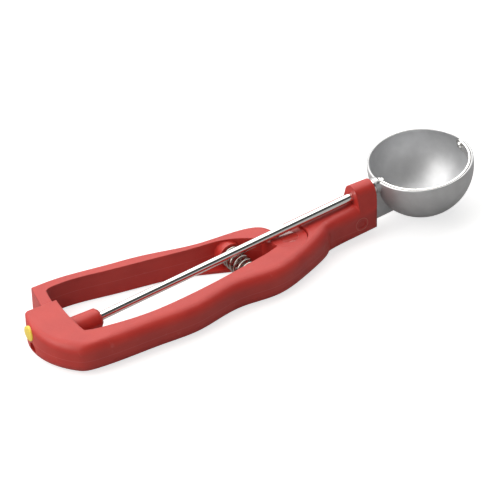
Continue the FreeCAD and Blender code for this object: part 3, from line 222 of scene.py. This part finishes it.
red.surface(red.node("BsdfPrincipled", None, {
    # The pale red marks both the moulding's parting line and the painted highlight ring round the plugs.
    "Base Color": red.blend(parting * 0.25 + plug_edge_highlight * 0.5, scuffed, (0.70, 0.20, 0.17)),
    "Roughness": 0.40 + 0.06 * red.smooth(red.grains(0.0009, 3.0), 0.3, 0.7) + 0.10 * scuffs,
    "Normal": red.node("Bump", None, {
        "Strength": 0.12, "Distance": 0.0002, "Height": sparks + 0.8 * parting,
        "Normal": red.node("Bevel", {"samples": 6}, {"Radius": 0.0004})}),
}))
wear("frame_arm", red)

# Lever
# The hinged arm, its flat disc at the pivot and the crossbar that goes into the housing. One moulding in
# the same red, held by the pivot pin alone.
wear("lever_arm", red)

# Pivot pin
# Headed red pin, pressed into the lug; the lever turns on it. It comes from a polished mould, so its head
# is glossier than the grip.
glossy_red = Finish(bpy.data.materials.new("glossy_red"))
ripple = glossy_red.grains(0.0004, 2.0)
glossy_red.surface(glossy_red.node("BsdfPrincipled", None, {
    "Base Color": glossy_red.blend(ripple, (0.50, 0.040, 0.032), (0.56, 0.050, 0.038)),
    "Roughness": 0.12 + 0.10 * ripple,
    "Coat Weight": 1.0,
    "Normal": glossy_red.node("Bevel", {"samples": 6}, {"Radius": 0.0003}),
}))
wear("pivot_pin", glossy_red)

# Drive rod
# Ground and polished stainless rod, turned down where the pinion and the scraper sit. It runs from the
# housing's rear wall to the bowl.
steel = Finish(bpy.data.materials.new("polished_steel"))
rubbed = steel.grains(0.0006, 2.0, (0.04, 1.0, 1.0))
smears = steel.smooth(steel.grains(0.009, 4.0, (0.3, 1.0, 1.0)), 0.45, 0.70)
steel.surface(steel.node("BsdfPrincipled", None, {
    "Base Color": steel.blend(rubbed, (0.76, 0.75, 0.73), (0.84, 0.83, 0.81)),
    "Metallic": 1.0,
    "Roughness": 0.06 + 0.04 * rubbed + 0.05 * smears,
    "Normal": steel.node("Bevel", {"samples": 6}, {"Radius": 0.0002}),
}))
wear("drive_rod", steel)

# Rack, pinion and their pins
# Punched steel rack on two pins under the crossbar's thin end; turned brass pinion, held on the rod by a
# cross pin.
wear("toothed_rack", steel)
wear("rack_pins", steel)
wear("pinion_pin", steel)
brass = Finish(bpy.data.materials.new("bearing_brass"))
turned_marks = brass.grains(0.0003, 2.0, (1.0, 0.1, 0.1))
brass.surface(brass.node("BsdfPrincipled", None, {
    "Base Color": brass.blend(turned_marks, (0.62, 0.44, 0.17), (0.74, 0.55, 0.25)),
    "Metallic": 1.0,
    "Roughness": 0.24 + 0.12 * turned_marks,
    "Normal": brass.node("Bump", None, {"Strength": 0.08, "Distance": 0.0001, "Height": turned_marks}),
}))
wear("drive_pinion", brass)

# Bearings of the rod
# Red moulded sleeve pushed into the housing's front wall, turned brass bush in its rear wall, and a
# steel thrust washer on the rod behind the bowl's collar.
wear("rod_sleeve", red)
wear("rear_bush", brass)
wear("thrust_washer", steel)

# Bowl
# Half sphere, collar and shank in one alloy casting, bead blasted to a soft grey; its rim is rubbed
# bright. The shank runs back into the head of the fixed arm.
alloy = Finish(bpy.data.materials.new("blasted_alloy"))
bead = alloy.grains(0.00045, 4.0)
cloud = alloy.smooth(alloy.grains(0.006, 3.0), 0.3, 0.7)
bowl_middle = Vector((0.0755, 0.0028, 0.0250))
rim_up = (-0.0889, 0.0, 0.9960)
above_middle = alloy.along(alloy.place(), rim_up) - bowl_middle.dot(Vector(rim_up))
from_middle = alloy.node("VectorMath", {"operation": "DISTANCE"},
                         {0: alloy.place(), 1: tuple(bowl_middle)}, out="Value")
rim = alloy.smooth(above_middle, 0.00235, 0.00262) * (1.0 - alloy.smooth(from_middle, 0.0262, 0.0266))
alloy.surface(alloy.node("BsdfPrincipled", None, {
    "Base Color": alloy.blend(rim, alloy.blend(cloud, (0.56, 0.565, 0.575), (0.615, 0.62, 0.63)),
                              (0.48, 0.48, 0.48)),
    "Metallic": 0.85 + 0.15 * rim,
    "Roughness": (0.49 + 0.08 * bead) * (1.0 - 0.35 * rim),
    "Normal": alloy.node("Bump", None, {
        "Strength": 0.35, "Distance": 0.0001, "Height": bead * (1.0 - rim),
        "Normal": alloy.node("Bevel", {"samples": 6}, {"Radius": 0.0005})}),
}))
wear("bowl", alloy)

# Shank pin
# Steel pin through head and shank, pressed in. Its ends are hidden by two dished red plugs; a thin pale
# ring of painted highlight is drawn round their edges in the red plastic.
wear("shank_pin", steel)
wear("shank_pin_plugs", red)

# Scraper
# Stainless strip bent to a half circle. Its rear ear and a hub are fixed on the rod's end; its front ear
# turns on a rivet, whose washer lies outside the bowl.
wear("scraper_blade", steel)
wear("blade_hub", steel)
wear("blade_rivet", steel)
wear("rivet_washer", steel)

# Size button
# Domed yellow plug glued into the rear wall; its colour tells the bowl's size.
yellow = Finish(bpy.data.materials.new("yellow_plastic"))
yellow.surface(yellow.node("BsdfPrincipled", None, {
    "Base Color": yellow.blend(yellow.grains(0.002), (0.97, 0.72, 0.08), (1.0, 0.78, 0.12)),
    "Roughness": 0.30 + 0.05 * yellow.grains(0.0005),
    "Normal": yellow.node("Bevel", {"samples": 6}, {"Radius": 0.0005}),
}))
button_middle = (-0.1314, 0.0083, 0.0107)
button_radius = 0.00355
seat_back, stem_end, stem_radius = 0.0032, 0.0055, 0.0020
bpy.ops.object.select_all(action="DESELECT")
bpy.ops.mesh.primitive_cylinder_add(vertices=64, radius=button_radius, depth=seat_back,
                                    location=(button_middle[0] + seat_back / 2, *button_middle[1:]),
                                    rotation=(0, math.radians(-90), 0))
button = bpy.context.object
button.name = "domed_button"
bpy.ops.object.transform_apply()
bpy.ops.object.mode_set(mode="EDIT")
bpy.ops.mesh.select_mode(type="FACE")


def pick_end(furthest):
    """Selects the flat end of the button that lies furthest that way along the handle."""
    bpy.ops.mesh.select_all(action="DESELECT")
    bpy.ops.object.mode_set(mode="OBJECT")
    ends = [face for face in button.data.polygons if len(face.vertices) > 4]
    furthest(ends, key=lambda face: face.center.x).select = True
    bpy.ops.object.mode_set(mode="EDIT")


pick_end(max)
bpy.ops.mesh.inset(thickness=button_radius - stem_radius)
bpy.ops.mesh.extrude_region_move(TRANSFORM_OT_translate={"value": (stem_end - seat_back, 0, 0)})
pick_end(min)
dome = [(1.0, 0.0), (1.0, 0.30), (0.985, 0.42), (0.94, 0.52), (0.86, 0.60), (0.74, 0.68), (0.58, 0.75),
        (0.38, 0.81), (0.16, 0.84)]
for (share, proud), (next_share, next_proud) in zip(dome, dome[1:]):
    step = (next_proud - proud) / 1000
    if next_share == share:
        bpy.ops.mesh.extrude_region_move(TRANSFORM_OT_translate={"value": (-step, 0, 0)})
    else:
        bpy.ops.mesh.inset(thickness=(share - next_share) * button_radius, depth=step)
bpy.ops.object.mode_set(mode="OBJECT")
bpy.ops.object.shade_smooth_by_angle(angle=math.radians(40))
button.data.materials.append(yellow.owner)
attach(button, "handle")
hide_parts("size_button")

# Spring
# Six turns of hard drawn wire between a seat in each arm, the first and last turn wound closer. The lever
# presses it shorter in use; this coil is made at one fixed length.
wire = Finish(bpy.data.materials.new("spring_wire"))
drawn = wire.grains(0.0004, 2.0)
wire.surface(wire.node("BsdfPrincipled", None, {
    "Base Color": wire.blend(drawn, (0.40, 0.38, 0.35), (0.50, 0.48, 0.44)),
    "Metallic": 1.0,
    "Roughness": 0.16 + 0.10 * drawn,
}))
wire_radius = 0.00065
coil_radius = 0.0046
turns = 6
seats = (-0.0056, 0.0120)
end_pitch = 0.0018
first_end = wire_radius + 0.00002
middle_pitch = (seats[1] - seats[0] - 2 * first_end - 2 * end_pitch) / (turns - 2)
steps = 48 * turns
bpy.ops.object.select_all(action="DESELECT")
bpy.ops.curve.primitive_nurbs_path_add(location=(0, 0, 0))
spring = bpy.context.object
spring.name = "spring_coil"
spring.data.splines.clear()
spline = spring.data.splines.new("NURBS")
spline.points.add(steps)
for number, point in enumerate(spline.points):
    turned_by = turns * number / steps
    even = min(max(turned_by - 1, 0), turns - 2)
    rise = end_pitch * (turned_by - even) + middle_pitch * even
    angle = 2 * math.pi * turned_by
    point.co = (-0.0240 + coil_radius * math.cos(angle), seats[0] + first_end + rise,
                0.0074 - coil_radius * math.sin(angle), 1)
spline.order_u = 4
spline.use_endpoint_u = True
spring.data.bevel_depth = wire_radius
spring.data.bevel_resolution = 5
spring.data.resolution_u = 2
spring.data.use_fill_caps = True
bpy.ops.object.convert(target="MESH")
spring = bpy.context.object
bpy.ops.object.transform_apply()
bpy.ops.object.shade_smooth()
spring.data.materials.clear()
spring.data.materials.append(wire.owner)
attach(spring, "handle")
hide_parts("compression_spring")
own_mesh(spring)
